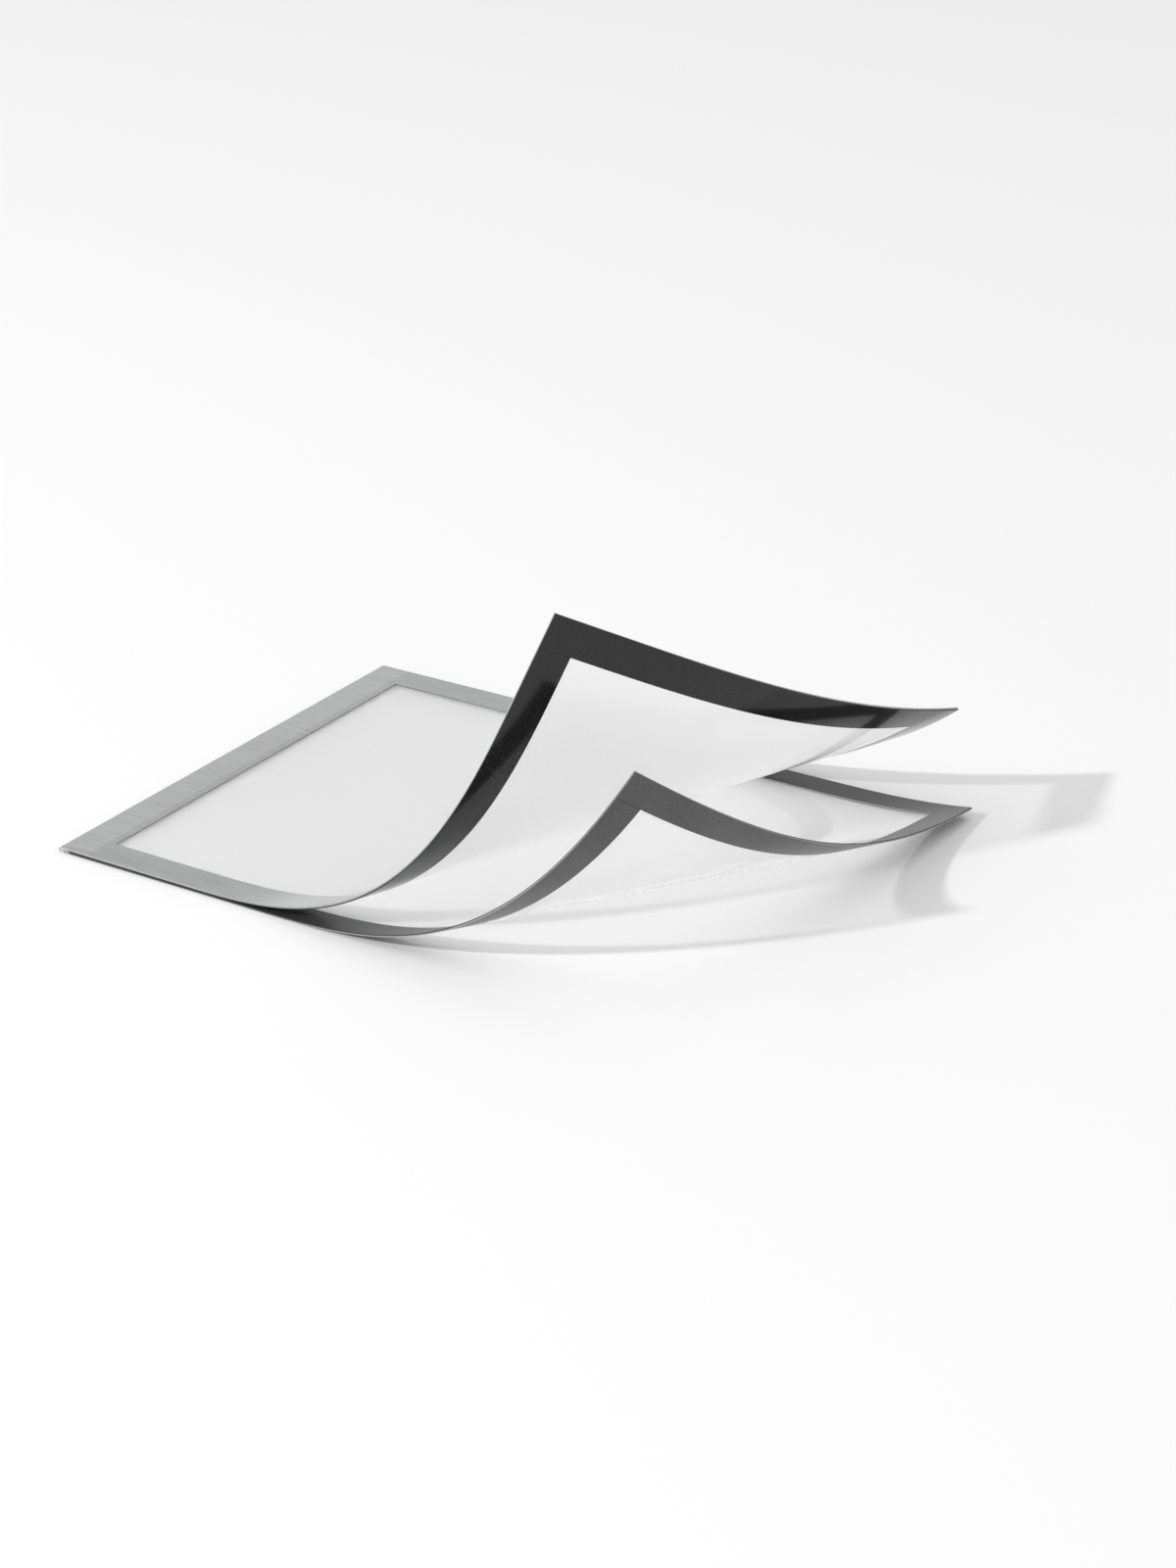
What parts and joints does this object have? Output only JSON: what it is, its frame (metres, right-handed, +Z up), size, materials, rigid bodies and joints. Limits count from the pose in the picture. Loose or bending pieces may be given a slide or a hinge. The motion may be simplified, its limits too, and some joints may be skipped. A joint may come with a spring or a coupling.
{
  "type": "magnetic document frame",
  "caption": "Flexible magnetic frame for an A4 sheet: a back panel and a silver-bordered cover with frosted windows, joined along one short edge and curled open towards the free end.",
  "frame": {"origin": "centre of the flat stretch of the back panel that rests on the table", "axes": "+X from the hinge to the free end, +Y from the near edge to the far edge, +Z up"},
  "size_m": [0.3228, 0.2405, 0.1462],
  "materials": {
    "frosted_film": "thin translucent film, fine anti-glare frost",
    "clear_film": "thin clear hinge film",
    "matte_magnet_foil": "dark grey flexible magnet foil, fine matte grain",
    "glossy_magnet_foil": "near-black flexible magnet foil with a smooth glossy inner face",
    "brushed_silver_film": "silver printed film, fine brushed look, satin"
  },
  "bodies": {
    "back_panel": {"back_window_film": "frosted_film", "back_magnet_hinge_end": "matte_magnet_foil", "back_magnet_free_end": "matte_magnet_foil", "back_magnet_near_side": "matte_magnet_foil", "back_magnet_far_side": "matte_magnet_foil", "hinge_strip": "clear_film"},
    "cover_panel": {"cover_window_film": "frosted_film", "cover_magnet_hinge_end": "glossy_magnet_foil", "cover_magnet_free_end": "glossy_magnet_foil", "cover_magnet_near_side": "glossy_magnet_foil", "cover_magnet_far_side": "glossy_magnet_foil", "cover_face_border": "brushed_silver_film"}
  },
  "joints": [
    {"name": "cover_fold", "type": "hinge", "parent": "back_panel", "child": "cover_panel", "pos_m": [-0.05535, 0, 0.00105], "axis": [0, -1, 0], "range_deg": [0, 145], "deforming": ["hinge_strip"]}
  ]
}
